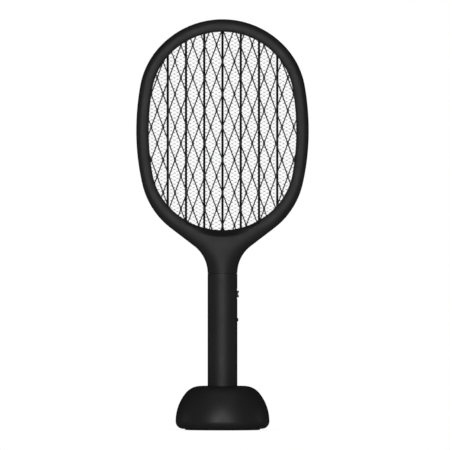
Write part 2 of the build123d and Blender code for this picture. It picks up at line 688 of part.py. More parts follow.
def battery_spring():
    """Conical contact spring under the cell, as a coiled ring stack."""
    low = CARRIER_BOTTOM_Z + CARRIER_END_WALL
    base = rod_z(6.5, low, low + 0.5)
    return base + tube_z(4.6, 3.4, low + 0.5, low + 1.2) + tube_z(3.8, 2.0, low + 1.1, CELL_BOTTOM_Z)


def circuit_board():
    """Board with rounded corners and its screw holes."""
    outline = Pos(0, (BOARD_BOTTOM_Z + BOARD_TOP_Z) / 2) * RectangleRounded(
        2 * BOARD_HALF_WIDTH, BOARD_TOP_Z - BOARD_BOTTOM_Z, 1.5)
    board = slab(outline, BOARD_FRONT_Y, BOARD_BACK_Y)
    return board - [rod_y(1.0, x, z, 0, 10) for x, z in BOARD_SCREWS]


def transformer_core():
    """E-shaped ferrite halves around the winding window."""
    core = block((-9, 5), (-9, BOARD_FRONT_Y), (112, 126))
    for low_x, high_x in ((-6.6, -4.2), (0.2, 2.6)):
        core -= block((low_x, high_x), (-6.6, 2.2), (111, 127))
    return core


def transformer_winding():
    """Tape-wound coil around the core's middle leg."""
    outer = block((-6.5, 2.5), (-6.5, 2.1), (113.5, 124.5))
    return [outer & block((low, high), (-7, 3), (112, 126)) for low, high in ((-6.5, -4.3), (0.3, 2.5))]


def control_chip():
    """Small outline package with its legs."""
    chip = block((-2.5, 2.5), (BOARD_FRONT_Y - 1.5, BOARD_FRONT_Y - 0.2), (102.6, 106.6))
    pins = [block((-3.4, 3.4), (BOARD_FRONT_Y - 0.4, BOARD_FRONT_Y), (z - 0.2, z + 0.2))
            for z in (103.1, 104.2, 105.3)]
    return chip + pins


def charging_socket():
    """Metal-shelled socket with its tongue."""
    outer = slab(Pos(0, PORT_Z) * RectangleRounded(PORT_SIZE[0], PORT_SIZE[1], 1.5), BOARD_BACK_Y, PORT_FACE_Y)
    cavity = slab(Pos(0, PORT_Z) * RectangleRounded(PORT_SIZE[0] - 0.7, PORT_SIZE[1] - 0.7, 1.2),
                  BOARD_BACK_Y + 3, PORT_FACE_Y + 1)
    tongue = block((-3.3, 3.3), (BOARD_BACK_Y + 2, PORT_FACE_Y - 0.8), (PORT_Z - 0.35, PORT_Z + 0.35))
    return outer - cavity + tongue


def build_electronics():
    """Battery, board and everything on it, and the leads."""
    node("battery_cell", battery_cell())
    node("battery_carrier", battery_carrier())
    node("battery_spring_contact", battery_spring())
    top = CELL_BOTTOM_Z + CELL_LENGTH
    node("battery_plate_contact", rod_z(5.5, top, CARRIER_TOP_Z - CARRIER_END_WALL))
    node("circuit_board", circuit_board())
    screws = [screw_y(x, z, BOARD_FRONT_Y, BOARD_BACK_Y + 6, 1.8, 1.3, 0.9) for x, z in BOARD_SCREWS]
    node("board_screws", group(screws))
    node("transformer_core", transformer_core())
    node("transformer_winding", group(transformer_winding()))
    capacitor = block((-10, 2), (-7, BOARD_FRONT_Y), (140, 155))
    node("film_capacitor", fillet(capacitor.edges(), 1.2))
    diodes = [rod_z(1.35, 130.5, 136.5, x, BOARD_FRONT_Y - 1.4) for x in (-9.5, -5.5, -1.5, 2.2)]
    node("multiplier_diodes", group(diodes))
    transistor = rod_z(2.3, 117, 121.5, 8.6, 2.0) & block((5, 12), (-1, 3.4), (116, 123))
    node("driver_transistor", transistor)
    node("control_chip", control_chip())
    switch = block((7.5, SLIDER_X[1]), (-3.2, BOARD_FRONT_Y), (KNOB_Z - 6.7, BOARD_TOP_Z - 0.2))
    travel = NUB_HALF_WIDTH + KNOB_TRAVEL + MOVING_GAP
    switch -= block((SLIDER_X[0], 15), (-1.9, 1.9), (KNOB_Z - travel, KNOB_Z + travel))
    node("power_switch_body", switch)
    trigger_switch = block((5.5, 10.3), (-3.5, BOARD_FRONT_Y), (BUTTON_Z - 3.1, BUTTON_Z + 3.1))
    node("trigger_switch_body", trigger_switch)
    node("charging_socket", charging_socket())
    lamp_z = (CHARGE_LAMP_Z - 0.7, CHARGE_LAMP_Z + 0.7)
    node("charge_lamp", block((-1.0, 1.0), (BOARD_BACK_Y, BOARD_BACK_Y + 0.9), lamp_z))
    pipe = rod_y(LIGHT_PIPE_RADIUS, 0, CHARGE_LAMP_Z, BOARD_BACK_Y + 1.5, HANDLE_RADIUS - 0.1)
    node("charge_light_pipe", pipe)
    build_leads()


def build_leads():
    """Insulated leads from cell to board, board to nets and board to lamps."""
    side_x, side_y = SIDE_LEAD_XY
    plus = lead([(6, 0, CARRIER_TOP_Z), (6, 0, 104), (6, BOARD_FRONT_Y, 104)], LEAD_BEND)
    minus = lead([(side_x, side_y, CARRIER_BOTTOM_Z), (side_x, side_y, 109), (-5.5, side_y, 109),
                  (-5.5, BOARD_FRONT_Y, 109)], LEAD_BEND)
    node("battery_leads", group([plus, minus]))
    top = NET_TAB_BOTTOM_Z
    guard = lead([(-6, BOARD_FRONT_Y, 167), (-6, 0.5, 167), (-6, 0.5, 200), (-NET_TAB_X, LEAD_REAR_Y, 214),
                  (-NET_TAB_X, LEAD_REAR_Y, top + 0.2)], [1.8, 12, 12])
    live = lead([(5, BOARD_FRONT_Y, 167), (5, 0, 167), (5, 0, 200), (NET_TAB_X, 0, 214), (NET_TAB_X, 0, top)],
                [1.8, 12, 12])
    node("high_voltage_leads", group([guard, live]))
    x = LAMP_LEAD_X
    lamp = lead([(x, BOARD_FRONT_Y, 160), (x, -4.5, 160), (x, -4.5, 212), (x, -8, 219),
                 (x, -8, LAMP_POCKET_Z + 2)], [LEAD_BEND, 6, 4])
    node("lamp_leads", group([lamp]))


# ---------------------------------------------------------------- stand
def stand_profile():
    """Outer half profile of the dome, drawn as (r, z), from its flat top down to the seam."""
    steps = [(STAND_SHOULDER_RADIUS, -STAND_SHOULDER_ANGLE), (STAND_SIDE_RADIUS, STAND_SHOULDER_ANGLE - 90)]
    return tangent_chain((STAND_TOP_FLAT, STAND_TOP_Z), (1, 0), steps)


def revolved(outline):
    """Solid turned about the Z axis from an outline drawn as (r, z)."""
    return revolve(Plane.XZ * outline, Axis.Z)


def stand_corner():
    """Rounded lower corner of the stand, from the widest point in to the underside."""
    side = stand_profile()[-1] @ 1
    return side, tangent_chain((side.X, side.Y), (0, -1), [(STAND_CORNER_RADIUS, -90)])[0]


def stand_solid():
    """Whole outer form of the stand as one turned solid."""
    shoulder, side = stand_profile()
    widest, corner = stand_corner()
    bottom = corner @ 1
    closing = Polyline((bottom.X, bottom.Y), (0, bottom.Y), (0, STAND_TOP_Z), (STAND_TOP_FLAT, STAND_TOP_Z))
    return revolved(make_face([shoulder, side, corner, *closing.edges()]))


def stand_inner():
    """Hollow of the dome, one wall thickness inside it."""
    steps = [(STAND_SHOULDER_RADIUS - STAND_WALL, -STAND_SHOULDER_ANGLE),
             (STAND_SIDE_RADIUS - STAND_WALL, STAND_SHOULDER_ANGLE - 90)]
    shoulder, side = tangent_chain((STAND_TOP_FLAT, STAND_TOP_Z - STAND_WALL), (1, 0), steps)
    low = side @ 1
    closing = Polyline((low.X, low.Y), (low.X, 0), (0, 0), (0, STAND_TOP_Z - STAND_WALL),
                       (STAND_TOP_FLAT, STAND_TOP_Z - STAND_WALL))
    return revolved(make_face([shoulder, side, *closing.edges()]))


def build_stand():
    """Dome with its socket, bottom plate, ballast, pad, foot ring and screws."""
    whole = stand_solid()
    hollow = stand_inner()
    dome = (whole & rod_z(90, STAND_SEAM_Z + STAND_SEAM_GAP, STAND_TOP_Z + 1)) - hollow
    dome += tube_z(SOCKET_RADIUS + SOCKET_WALL, SOCKET_RADIUS - 0.5, SOCKET_FLOOR_Z, STAND_TOP_Z - 1)
    for x, y in stand_screw_points():
        dome += rod_z(STAND_BOSS_RADIUS, BOSS_BOTTOM_Z, STAND_TOP_Z - 4, x, y)
    dome -= rod_z(SOCKET_RADIUS, 0, STAND_TOP_Z + 1)
    for x, y in stand_screw_points():
        dome -= rod_z(1.3, BOSS_BOTTOM_Z - 1, 24, x, y)
    mouth = [edge for edge in dome.edges().filter_by(GeomType.CIRCLE)
             if abs(edge.center().Z - STAND_TOP_Z) < 0.01 and abs(edge.radius - SOCKET_RADIUS) < 0.01]
    node("stand_dome", fillet(mouth, 0.8))
    plate = (whole & rod_z(90, 0, STAND_SEAM_Z)) - tube_z(FOOT_RING[1], FOOT_RING[0], 0, FOOT_RING_TOP_Z)
    plate -= rod_z(STAND_PLATE_HOLLOW, PLATE_FLOOR_Z, 10)
    plate += rod_z(SOCKET_RADIUS + SOCKET_WALL, 3.0, SOCKET_FLOOR_Z)
    plate -= rod_z(SOCKET_RADIUS + 0.2, PAD_BOTTOM_Z, SOCKET_FLOOR_Z + 1)
    for x, y in stand_screw_points():
        plate += rod_z(STAND_BOSS_RADIUS, 3.0, BOSS_BOTTOM_Z - 0.1, x, y)
        plate -= rod_z(1.7, 0, 20, x, y) + rod_z(3.0, 0, 3.0, x, y)
    node("stand_bottom_plate", plate)
    ballast_z = PLATE_FLOOR_Z + 0.1
    ballast = tube_z(BALLAST_OUTER, BALLAST_INNER, ballast_z, ballast_z + BALLAST_THICKNESS)
    ballast -= [rod_z(STAND_BOSS_RADIUS + 0.6, 0, 20, x, y) for x, y in stand_screw_points()]
    node("stand_ballast", ballast)
    foot = tube_z(FOOT_RING[1] - 0.05, FOOT_RING[0] + 0.05, 0, FOOT_RING_TOP_Z)
    node("foot_ring", fillet(foot.edges().filter_by(GeomType.CIRCLE).group_by(Axis.Z)[0], 0.5))
    node("socket_pad", rod_z(SOCKET_RADIUS - 0.6, PAD_BOTTOM_Z, PAD_BOTTOM_Z + PAD_THICKNESS))
    screws = [Pos(x, y, 0) * stand_screw() for x, y in stand_screw_points()]
    node("stand_screws", group(screws))


def stand_screw_points():
    """Three screw centres around the socket."""
    return [(STAND_SCREW_RADIUS * cos(radians(angle)), STAND_SCREW_RADIUS * sin(radians(angle)))
            for angle in (90, 210, 330)]


def stand_screw():
    """Screw driven up from the underside."""
    slot = (-1.7, 1.7)
    width = (-0.35, 0.35)
    screw = rod_z(2.7, 1.3, 3.0) + rod_z(1.2, 3.0, 20)
    return screw - block(slot, width, (1, 2.3)) - block(width, slot, (1, 2.3))


# ---------------------------------------------------------------- write every node
build_stand()
build_head()
build_handle()
build_electronics()
os.makedirs("parts", exist_ok=True)
for name, shape in NODES.items():
    export_step(shape, f"parts/{name}.step")
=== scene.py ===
"""Looks of the electric fly swatter: head frames, nets and window as meshes, and every material.

Shapes are worked out in millimetres, with the front towards -Y and the stand's underside at z = 0,
and are turned into metres when a mesh is made.
"""
import json
from math import cos, pi, radians, sin

import bmesh
import bpy
import numpy as np
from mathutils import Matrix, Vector


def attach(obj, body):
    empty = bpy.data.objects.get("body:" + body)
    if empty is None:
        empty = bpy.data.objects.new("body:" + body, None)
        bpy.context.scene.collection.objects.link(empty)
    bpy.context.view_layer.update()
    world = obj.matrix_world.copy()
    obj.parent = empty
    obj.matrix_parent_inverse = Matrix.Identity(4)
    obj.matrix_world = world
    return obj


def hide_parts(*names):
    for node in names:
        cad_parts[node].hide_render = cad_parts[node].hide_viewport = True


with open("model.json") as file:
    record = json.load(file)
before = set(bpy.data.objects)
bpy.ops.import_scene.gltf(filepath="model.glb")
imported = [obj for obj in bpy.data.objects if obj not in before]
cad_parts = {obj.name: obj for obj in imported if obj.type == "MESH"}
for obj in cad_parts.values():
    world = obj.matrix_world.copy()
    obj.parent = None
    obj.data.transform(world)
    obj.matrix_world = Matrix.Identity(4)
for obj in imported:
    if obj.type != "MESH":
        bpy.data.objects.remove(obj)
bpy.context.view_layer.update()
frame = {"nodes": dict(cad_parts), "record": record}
MM = 0.001

# ---------------------------------------------------------------- sizes, millimetres
# Head outline: three tangent arcs per quarter of the oval, then shoulders that flare into the neck.
HEAD_CENTRE_Z = 358.8
OVAL_RADII = (102.5, 92.5, 310.5)
OVAL_ANGLES = (50.4, 29.6, 10.0)
SHOULDER_ARCS = ((283.6, 13.0), (92.8, 39.6))
SHOULDER_LINE = 35.36
FLARE_RADIUS = 41.4

# Ring section: its crest lies further in where the shoulders widen the ring.
RING_WIDTH = 15.0
RING_HALF_DEPTH = 11.5
CREST_INSET = 7.5
CREST_POWER = 2.45
SHOULDER_CREST_INSET = 12.6
SHOULDER_CREST_POWER = 2.0
RING_FADE_Z = (192.0, 222.0)
NET_POCKET_INSET = 9.8
LIP_Y = 6.5
PARTING_GAP = 0.12
REAR_LAP = 0.10
GROOVE_DEPTH = 1.2
CASING_SHARP_ANGLE = 32
SKIN = 0.04

# Neck: a round section at the handle that flattens and squares upwards.
SEAM_Z = 188.1
HANDLE_RADIUS = 17.85
NECK_START_Z = 187.7
NECK_DROP = 2.45
NECK_DROP_HEIGHT = 38.3
NECK_DROP_POWER = 1.67
NECK_ROUND_POWER = 2.0
NECK_SQUARER = 0.9
NECK_SQUARER_Z = (200.0, 245.0)
BLEND_WIDTH = 2.0
BLEND_HEIGHT = 0.5

# Bevel round the opening: rounded on the ring, straight with a steep first edge in the throat.
BEVEL_START_Y = 7.9
BEVEL_WIDTH = 7.5
THROAT_BEVEL_WIDTH = 8.3
EDGE_RISE = 3.2
EDGE_SHARE = 0.15
THROAT_ANGLES = (125.0, 165.0)
THROAT_CRESTS = (11.8, 13.6)
THROAT_BEVEL_POWER = 1.12

# Recesses in the rear frame.
HEAD_SCREW_ANGLES = (12.0, 55.0, 95.0, 138.0)
HEAD_SCREW_INSET = 5.0
HEAD_SCREW_RECESS = (2.4, 7.5)
NECK_SCREW_Z = 206.0
NECK_SCREW_RECESS = (2.7, 13.2)

# Guard nets: upright diamonds of bonded strands.
DIAMOND_WIDTH = 14.25
DIAMOND_HEIGHT = 39.4
DIAMOND_BOND = 3.8
LATTICE_CENTRE_Z = 363.5
LATTICE_ROWS = range(-8, 9)
LATTICE_COLUMNS = range(-13, 13)
GUARD_WIRE = 1.42
GUARD_THICKNESS = 0.6
GUARD_OVERLAP = 0.42
GUARD_Y = 6.1

# Fine net in the middle: flat cells with broad bonds.
FINE_WIDTH = 7.7
FINE_HEIGHT = 4.4
FINE_BOND = 1.5
FINE_BOND_WIDTH = 1.45
FINE_WIRE = 0.32
FINE_OVERLAP = 0.4
FINE_THICKNESS = 0.4
FINE_ROWS = int(130 / (FINE_HEIGHT / 2))
FINE_COLUMNS = int(100 / (FINE_WIDTH / 2))


# ---------------------------------------------------------------- mesh helpers
def mesh_piece(name, vertices, faces, smooth_angle=40):
    """New mesh object from vertices in millimetres, its normals outward and its hard edges kept."""
    mesh = bpy.data.meshes.new(name)
    mesh.from_pydata([tuple(v) for v in np.asarray(vertices, float) * MM], [], [tuple(f) for f in faces])
    work = bmesh.new()
    work.from_mesh(mesh)
    bmesh.ops.remove_doubles(work, verts=work.verts, dist=1e-6)
    bmesh.ops.dissolve_degenerate(work, edges=work.edges, dist=1e-7)
    bmesh.ops.recalc_face_normals(work, faces=work.faces)
    work.to_mesh(mesh)
    work.free()
    piece = bpy.data.objects.new(name, mesh)
    bpy.context.scene.collection.objects.link(piece)
    smooth(piece, smooth_angle)
    return piece


def smooth(piece, angle):
    """Smooth shading that stays sharp at edges over the angle, in degrees."""
    mesh = piece.data
    mesh.shade_smooth()
    mesh.set_sharp_from_angle(angle=radians(angle))


def fit(piece, body, slot, material, *nodes):
    """Give a new piece its material and body, and hide the CAD nodes that it stands for; the slot is not
    used.
    """
    piece.data.materials.clear()
    piece.data.materials.append(material)
    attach(piece, body)
    if nodes:
        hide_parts(*nodes)
    return piece


def loop_faces(rows, columns):
    """Quads of a grid whose rows and columns both close on themselves."""
    faces = []
    for row in range(rows):
        above = (row + 1) % rows
        for column in range(columns):
            beside = (column + 1) % columns
            faces.append((row * columns + column, row * columns + beside,
                          above * columns + beside, above * columns + column))
    return faces


def tube_faces(rings, corners):
    """Quads between neighbouring rings and a face at each end."""
    faces = []
    for ring in range(rings - 1):
        for corner in range(corners):
            beside = (corner + 1) % corners
            faces.append((ring * corners + corner, ring * corners + beside,
                          (ring + 1) * corners + beside, (ring + 1) * corners + corner))
    faces.append(tuple(range(corners)))
    faces.append(tuple(range((rings - 1) * corners, rings * corners)))
    return faces


# ---------------------------------------------------------------- head outline
def oval_turns():
    """Angles from straight up at which the oval's top arc and corner arc end, in radians."""
    return radians(OVAL_ANGLES[0]), radians(OVAL_ANGLES[0] + OVAL_ANGLES[1])


def oval_half_height():
    """Half height of the head's oval, whose side arcs are centred on its widest height."""
    top, corner, side = OVAL_RADII
    first, second = oval_turns()
    return top - (top - corner) * cos(first) - (corner - side) * cos(second)


def oval_point(degrees, inset):
    """Point (x, z) of the oval where its outward normal is so many degrees from straight up."""
    flipped = degrees > 90
    angle = radians(180 - degrees if flipped else degrees)
    top, corner, side = OVAL_RADII
    first, second = oval_turns()
    x, z, radius = 0.0, oval_half_height() - top, top
    if angle > first:
        x, z, radius = x + (top - corner) * sin(first), z + (top - corner) * cos(first), corner
    if angle > second:
        x, z, radius = x + (corner - side) * sin(second), z + (corner - side) * cos(second), side
    x += (radius - inset) * sin(angle)
    z += (radius - inset) * cos(angle)
    return x, HEAD_CENTRE_Z + (-z if flipped else z)


def walk(start, normal, steps, spacing):
    """Points (x, z, normal angle) along tangent arcs and lines.

    A step is (radius, degrees) or (length,).
    """
    x, z = start
    path = [(x, z, normal)]
    for step in steps:
        if len(step) == 1:
            count = max(2, round(step[0] / spacing))
            along = radians(normal)
            for index in range(1, count + 1):
                reach = step[0] * index / count
                path.append((x + cos(along) * reach, z - sin(along) * reach, normal))
        else:
            radius, turn = step
            count = max(2, round(abs(radius * radians(turn)) / spacing))
            centre_x = x - radius * sin(radians(normal))
            centre_z = z - radius * cos(radians(normal))
            for index in range(1, count + 1):
                angle = normal + turn * index / count
                x = centre_x + radius * sin(radians(angle))
                z = centre_z + radius * cos(radians(angle))
                path.append((x, z, angle))
            normal += turn
        x, z = path[-1][:2]
    return path


def head_path(spacing=1.6):
    """Right half of the outline from the top centre to the bottom centre of the seam."""
    arcs = list(zip(OVAL_RADII, OVAL_ANGLES))
    flare_turn = sum(angle for _, angle in SHOULDER_ARCS)
    steps = arcs + list(SHOULDER_ARCS) + [(SHOULDER_LINE,), (-FLARE_RADIUS, -flare_turn)]
    start = (0.0, HEAD_CENTRE_Z + oval_half_height())
    return walk(start, 0.0, steps, spacing)


OUTLINE = np.array([(x, z) for x, z, _ in head_path(0.5)])


def half_width(z):
    """Half width of the outline at heights below its widest point."""
    lower = OUTLINE[OUTLINE[:, 1] < HEAD_CENTRE_Z]
    return np.interp(z, lower[::-1, 1], lower[::-1, 0])


def smoothstep(value, low, high):
    """Smooth ramp from 0 at low to 1 at high."""
    share = np.clip((value - low) / (high - low), 0, 1)
    return share * share * (3 - 2 * share)


def surface_height(x, z, crest_inset):
    """How far the head frame's outer surface stands from the middle plane at a point, where the ring's
    crest is so far in from the outline."""
    points = np.stack([np.abs(x), z], axis=-1).reshape(-1, 2)
    nearest = [np.sqrt(((OUTLINE - point) ** 2).sum(1).min()) for point in points]
    distance = np.array(nearest).reshape(x.shape)
    share = np.clip(distance / crest_inset, 0, 1)
    shoulder = np.clip((crest_inset - CREST_INSET) / (SHOULDER_CREST_INSET - CREST_INSET), 0, 1)
    roundness = CREST_POWER + (SHOULDER_CREST_POWER - CREST_POWER) * shoulder
    ring = RING_HALF_DEPTH * (1 - (1 - share) ** roundness) ** (1 / roundness)
    ring = ring * smoothstep(z, *RING_FADE_Z)
    rise = np.maximum(z - NECK_START_Z, 0) / NECK_DROP_HEIGHT
    depth = np.maximum(HANDLE_RADIUS - NECK_DROP * rise ** NECK_DROP_POWER, 0)
    power = NECK_ROUND_POWER + NECK_SQUARER * smoothstep(z, *NECK_SQUARER_Z)
    across = np.clip(np.abs(x) / np.maximum(half_width(z), 1), 0, 1)
    neck = depth * (1 - across ** power) ** (1 / power)
    closeness = np.clip(1 - np.abs(ring - neck) / BLEND_WIDTH, 0, 1)
    return np.maximum(ring, neck) + closeness ** 2 * BLEND_HEIGHT


# ---------------------------------------------------------------- head frames
def stations(spacing=1.6):
    """Matching points of the outline, the opening and the net pocket all round the head, and the bevel's
    outer edge as a length along each ray from the opening to the outline."""
    path = head_path(spacing)
    outer = [(x, max(min(z, path[0][1] - SKIN), SEAM_Z)) for x, z, _ in path]
    normals = [angle for _, _, angle in path]
    turned = sum(OVAL_ANGLES) + sum(angle for _, angle in SHOULDER_ARCS)
    tail = next(index for index, angle in enumerate(normals) if angle >= turned - 1e-6)
    seam_steps = round(HANDLE_RADIUS / spacing)
    corner_x = outer[-1][0]
    outer += [(corner_x * (1 - (step + 1) / seam_steps), SEAM_Z) for step in range(seam_steps)]
    outer = np.array(outer)
    angles = np.array(normals[:tail + 1])
    lengths = np.concatenate([[0], np.cumsum(np.hypot(*np.diff(outer[tail:], axis=0).T))])
    angles = np.concatenate([angles, turned + (180 - turned) * lengths[1:] / lengths[-1]])
    opening = np.array([oval_point(angle, RING_WIDTH) for angle in angles])
    pocket = np.array([oval_point(angle, NET_POCKET_INSET) for angle in angles])
    rays = outer - opening
    rays /= np.hypot(*rays.T)[:, None]
    facing = rays[:, 0] * np.sin(np.radians(angles)) + rays[:, 1] * np.cos(np.radians(angles))
    near_throat = smoothstep(angles, *THROAT_ANGLES)
    reach = (BEVEL_WIDTH + (THROAT_BEVEL_WIDTH - BEVEL_WIDTH) * near_throat) / facing
    whole = [np.vstack([half, half[-2:0:-1] * (-1, 1)]) for half in (outer, opening, pocket)]
    return *whole, np.concatenate([reach, reach[-2:0:-1]])


def bevel_section(share, crest):
    """Height of the bevel at a share of its width: rounded over on the ring, straight in the throat,
    where it starts with a short steep edge."""
    in_throat = smoothstep(crest, *THROAT_CRESTS)
    power = CREST_POWER - (CREST_POWER - THROAT_BEVEL_POWER) * in_throat
    start = BEVEL_START_Y + EDGE_RISE * in_throat * np.clip(share / EDGE_SHARE, 0, 1)
    return start + (crest - start) * (1 - (1 - share) ** power) ** (1 / power)


def crest_insets(outer, opening, reach):
    """Distance of the ring's crest from the outline at each station."""
    length = np.hypot(*(outer - opening).T)
    return np.clip(length - reach, CREST_INSET, SHOULDER_CREST_INSET)


def bevel_shares(rows=12):
    """Shares of the bevel's width at which its rows lie, closer together towards both edges."""
    halfway = rows / 2
    shares = []
    for index in range(1, rows):
        if index > halfway:
            shares.append(1 - (1 - index / rows) ** 1.5)
        else:
            shares.append((index / rows) ** 1.6 * 1.96)
    return shares


def head_frame(name, side, front_rows=26):
    """One closed half of the head frame; side -1 is the front, +1 the rear."""
    outer, opening, pocket, reach = stations()
    length = np.hypot(*(outer - opening).T)
    rays = (outer - opening) / length[:, None]
    edge = opening + rays * reach[:, None]
    inset = crest_insets(outer, opening, reach)
    crest = surface_height(edge[:, 0], edge[:, 1], inset)
    flat = np.ones(len(outer))
    joint = PARTING_GAP if side < 0 else -REAR_LAP
    rows = [(pocket, flat * joint), (pocket, flat * LIP_Y)]
    rows += [(opening, flat * LIP_Y), (opening, flat * BEVEL_START_Y)]
    for share in bevel_shares():
        rows.append((opening + rays * (reach * share)[:, None], bevel_section(share, crest)))
    for index in range(front_rows + 1):
        share = 1 - (1 - index / front_rows) ** 2
        point = opening + rays * (reach + (length - reach) * share)[:, None]
        height = surface_height(point[:, 0], point[:, 1], inset)
        rows.append((point, np.maximum(height, PARTING_GAP)))
    rows.append((outer, flat * PARTING_GAP))
    rows.append((outer - rays * GROOVE_DEPTH, flat * joint))
    loops = [np.column_stack([point[:, 0], side * height, point[:, 1]]) for point, height in rows]
    return mesh_piece(name, np.vstack(loops), loop_faces(len(rows), len(outer)), CASING_SHARP_ANGLE)


def drill(piece, holes, length=20):
    """Cut round recesses (x, z, radius, floor y) into a piece from the rear."""
    cutters = []
    for x, z, radius, floor_y in holes:
        middle = (x * MM, (floor_y + length / 2) * MM, z * MM)
        bpy.ops.mesh.primitive_cylinder_add(vertices=48, radius=radius * MM, depth=length * MM,
                                            location=middle, rotation=(pi / 2, 0, 0))
        cutters.append(bpy.context.object)
    for cutter in cutters:
        modifier = piece.modifiers.new("recess", "BOOLEAN")
        modifier.operation = "DIFFERENCE"
        modifier.solver = "EXACT"
        modifier.object = cutter
    bpy.context.view_layer.update()
    made = bpy.data.meshes.new_from_object(piece.evaluated_get(bpy.context.evaluated_depsgraph_get()))
    piece.modifiers.clear()
    piece.data = made
    for cutter in cutters:
        bpy.data.objects.remove(cutter)
    smooth(piece, CASING_SHARP_ANGLE)


def window_strip(rows=14, thickness=0.9, proud=0.08, half_span=45.0, first_share=0.165, width_share=0.8):
    """Crescent window laid on the bevel below the opening, whose far edge runs into its near edge."""
    outer, opening, _, reach = stations(1.0)
    rays = outer - opening
    rays /= np.hypot(*rays.T)[:, None]
    edge = opening + rays * reach[:, None]
    crest = surface_height(edge[:, 0], edge[:, 1], crest_insets(outer, opening, reach))
    keep = (np.abs(opening[:, 0]) < half_span) & (opening[:, 1] < HEAD_CENTRE_Z)
    order = np.argsort(opening[keep][:, 0])
    opening, rays, reach, crest = [values[keep][order] for values in (opening, rays, reach, crest)]
    taper = np.clip(1 - (opening[:, 0] / (half_span + 0.5)) ** 2, 0, 1) ** 0.4
    top, bottom = [], []
    for index in range(rows + 1):
        across = first_share + index / rows * width_share * taper
        points = opening + rays * (reach * across)[:, None]
        height = np.array([bevel_section(share, level) for share, level in zip(across, crest)])
        top.append(np.column_stack([points[:, 0], -height - proud, points[:, 1]]))
        bottom.append(np.column_stack([points[:, 0], -height + thickness, points[:, 1]]))
    columns = top + bottom[::-1]
    count = len(columns)
    vertices = np.stack(columns, axis=1).reshape(-1, 3)
    return mesh_piece("crescent_window_lens", vertices, tube_faces(len(opening), count), 35)


# ---------------------------------------------------------------- nets
def inside_oval(points, inset):
    """Which points (x, z) lie inside the oval drawn in by the inset."""
    ring = np.array([oval_point(angle, inset) for angle in np.linspace(0, 180, 361)])
    reach = np.interp(points[:, 1], ring[::-1, 1], ring[::-1, 0], left=-1, right=-1)
    return np.abs(points[:, 0]) <= reach


def strand_runs(path, inset, step=0.4):
    """Stretches of a strand's path that lie inside the oval, with ends cut at its edge."""
    runs, current = [], []
    for start, end in zip(path[:-1], path[1:]):
        start, end = np.array(start), np.array(end)
        count = max(2, int(np.hypot(*(end - start)) / step))
        shares = np.linspace(0, 1, count + 1)
        inside = inside_oval(start + (end - start) * shares[:, None], inset)
        if inside.all():
            current = current or [start]
            current.append(end)
            continue
        if inside.any():
            first, last = shares[inside][0], shares[inside][-1]
            if not current:
                current = [start + (end - start) * first]
            current.append(start + (end - start) * last)
        if current:
            runs.append(current)
        current = [end] if inside[-1] and not inside.all() and inside_oval(end[None], inset)[0] else []
    if len(current) > 1:
        runs.append(current)
    return [run for run in runs if len(run) > 1]


def strand_mesh(run, middle_y, width, thickness, corners):
    """Closed tube of rounded section along a flat path (x, z)."""
    points = np.array(run)
    steps = np.diff(points, axis=0)
    steps /= np.maximum(np.hypot(*steps.T), 1e-9)[:, None]
    tangents = np.vstack([steps[:1], steps[:-1] + steps[1:], steps[-1:]])
    tangents /= np.maximum(np.hypot(*tangents.T), 1e-9)[:, None]
    across = np.column_stack([-tangents[:, 1], tangents[:, 0]])
    angles = [2 * pi * (corner + 0.5) / corners for corner in range(corners)]
    scale = 1 / cos(pi / corners)
    vertices = []
    for point, normal in zip(points, across):
        for angle in angles:
            side = normal * (width / 2 * scale * cos(angle))
            lift = thickness / 2 * scale * sin(angle)
            vertices.append((point[0] + side[0], middle_y + lift, point[1] + side[1]))
    return vertices, tube_faces(len(points), corners)


def rim_band(middle_y, thickness, outer_inset, inner_inset):
    """Flat oval band that the strands end in, under the frame's lip."""
    angles = np.linspace(0, 180, 121)
    vertices = []
    for inset, lift in ((outer_inset, -1), (inner_inset, -1), (inner_inset, 1), (outer_inset, 1)):
        half = np.array([oval_point(angle, inset) for angle in angles])
        ring = np.vstack([half, half[-2:0:-1] * (-1, 1)])
        vertices += [(x, middle_y + lift * thickness / 2, z) for x, z in ring]
    return vertices, loop_faces(4, 240)


def net(name, middle_y, strands, width, thickness, corners, bonds=(), bond_width=0.0, inset=11.0):
    """Whole net as one mesh: its strands, the broader bonds between them and its rim band."""
    vertices, faces = rim_band(middle_y, thickness, 10.2, inset + 0.9)
    vertices = list(vertices)
    faces = list(faces)
    for paths, path_width, height in ((strands, width, thickness), (bonds, bond_width, thickness * 1.12)):
        for path in paths:
            for run in strand_runs(path, inset):
                new_vertices, new_faces = strand_mesh(run, middle_y, path_width, height, corners)
                offset = len(vertices)
                vertices += new_vertices
                faces += [tuple(index + offset for index in face) for face in new_faces]
    return mesh_piece(name, vertices, faces, 50)


def guard_strands():
    """Upright zigzag strands that touch their neighbours at upright bonds."""
    strands = []
    half = DIAMOND_WIDTH / 2
    overlap = GUARD_WIRE * GUARD_OVERLAP
    for column in LATTICE_COLUMNS:
        path = []
        for row in LATTICE_ROWS:
            to_right = (row + column) % 2 == 1
            x = (column + 1) * half - overlap if to_right else column * half + overlap
            z = LATTICE_CENTRE_Z + row * DIAMOND_HEIGHT / 2
            path += [(x, z - DIAMOND_BOND / 2), (x, z + DIAMOND_BOND / 2)]
        strands.append(path)
    return strands


def centre_strands():
    """Fine zigzag strands across the head that touch their neighbours at short level bonds."""
    strands = []
    half = FINE_HEIGHT / 2
    overlap = FINE_WIRE * FINE_OVERLAP
    for row in range(-FINE_ROWS, FINE_ROWS):
        path = []
        for column in range(-FINE_COLUMNS, FINE_COLUMNS + 1):
            up = (row + column) % 2 == 1
            rise = (row + 1) * half - overlap if up else row * half + overlap
            x = column * FINE_WIDTH / 2
            path += [(x - FINE_BOND / 2, HEAD_CENTRE_Z + rise), (x + FINE_BOND / 2, HEAD_CENTRE_Z + rise)]
        strands.append(path)
    return strands


